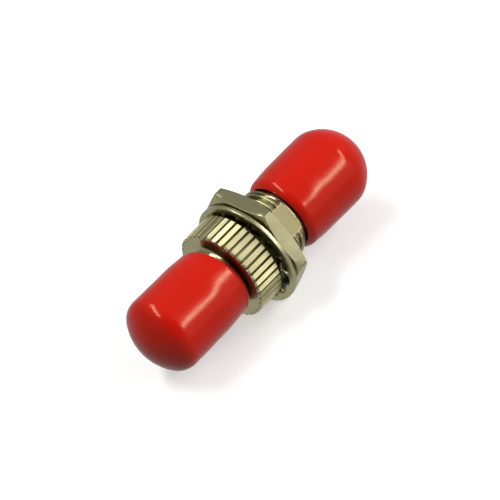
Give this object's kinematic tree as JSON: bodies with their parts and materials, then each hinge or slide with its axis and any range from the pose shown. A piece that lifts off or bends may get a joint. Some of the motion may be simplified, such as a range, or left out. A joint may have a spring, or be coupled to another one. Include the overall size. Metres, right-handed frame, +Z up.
{
  "type": "fibre optic adapter",
  "caption": "Panel-mount metal fibre adapter with a knurled flange, threaded shank with a flat, hex nut, toothed lock washer and red dust caps over its bayonet barrels.",
  "frame": {"origin": "on the adapter's axis, in the rear face of the knurled flange, which a panel lies against", "axes": "+X along the axis from the flange towards the nut and the rear barrel, +Z up, square to a flat of the nut"},
  "size_m": [0.0378, 0.0158, 0.0142],
  "materials": {
    "nickel_plated_brass": "turned and bright nickel plated",
    "stainless_steel": "ground",
    "zirconia_ceramic": "polished ceramic",
    "plated_spring_steel": "stamped and nickel plated",
    "red_vinyl": "dip moulded, glossy"
  },
  "bodies": {
    "adapter": {"adapter_body": "nickel_plated_brass", "front_bayonet_pin_left": "stainless_steel", "front_bayonet_pin_right": "stainless_steel", "rear_bayonet_pin_left": "stainless_steel", "rear_bayonet_pin_right": "stainless_steel", "front_sleeve_holder": "nickel_plated_brass", "rear_sleeve_holder": "nickel_plated_brass", "alignment_sleeve": "zirconia_ceramic"},
    "washer": {"lock_washer": "plated_spring_steel"},
    "nut": {"hex_nut": "nickel_plated_brass"},
    "front_cap": {"front_dust_cap": "red_vinyl"},
    "rear_cap": {"rear_dust_cap": "red_vinyl"}
  },
  "joints": [
    {"name": "front_cap_pull", "type": "slide", "parent": "adapter", "child": "front_cap", "axis": [-1, 0, 0], "range_m": [0, 0.03]},
    {"name": "rear_cap_pull", "type": "slide", "parent": "adapter", "child": "rear_cap", "axis": [1, 0, 0], "range_m": [0, 0.03]},
    {"name": "washer_travel", "type": "slide", "parent": "adapter", "child": "washer", "axis": [1, 0, 0], "range_m": [-0.00002, 0.00308]},
    {"name": "nut_turn", "type": "hinge", "parent": "washer", "child": "nut", "pos_m": [0.00243, 0, 0], "axis": [1, 0, 0], "range_deg": [-10, 1400]}
  ],
  "couplings": [
    {"joint": "nut_turn", "follows": "washer_travel", "rad_per_m": 7915.8}
  ]
}
